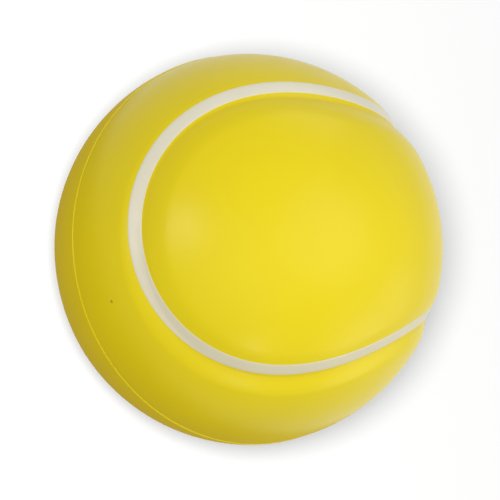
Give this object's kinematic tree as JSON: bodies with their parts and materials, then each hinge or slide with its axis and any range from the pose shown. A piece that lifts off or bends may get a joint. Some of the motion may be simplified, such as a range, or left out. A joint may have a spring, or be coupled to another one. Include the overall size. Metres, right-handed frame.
{
  "type": "stress ball",
  "caption": "Solid foam stress ball in tennis ball form, with a moulded seam groove and a white line printed along it a little out of register, squeezed in the hand and springing back.",
  "frame": {"origin": "centre of the ball's upper half, on the parting plane where its two halves meet", "axes": "+Z the way the mould opens and the ball is squeezed, towards the upper pole; +X through the neck of the panel whose round ends face up and down; +Y completes the right-handed frame"},
  "size_m": [0.064, 0.064, 0.0627],
  "materials": {
    "yellow_foam": "satin",
    "white_line": "satin"
  },
  "bodies": {
    "palm_half": {"lower_foam": "yellow_foam", "lower_seam_line": "white_line"},
    "finger_half": {"upper_foam": "yellow_foam", "upper_seam_line": "white_line"}
  },
  "joints": [
    {"name": "squeeze", "type": "slide", "parent": "palm_half", "child": "finger_half", "axis": [0, 0, -1], "range_m": [0, 0.024], "stiffness_N_per_m": 2500, "deforming": ["lower_foam", "lower_seam_line", "upper_foam", "upper_seam_line"]}
  ]
}
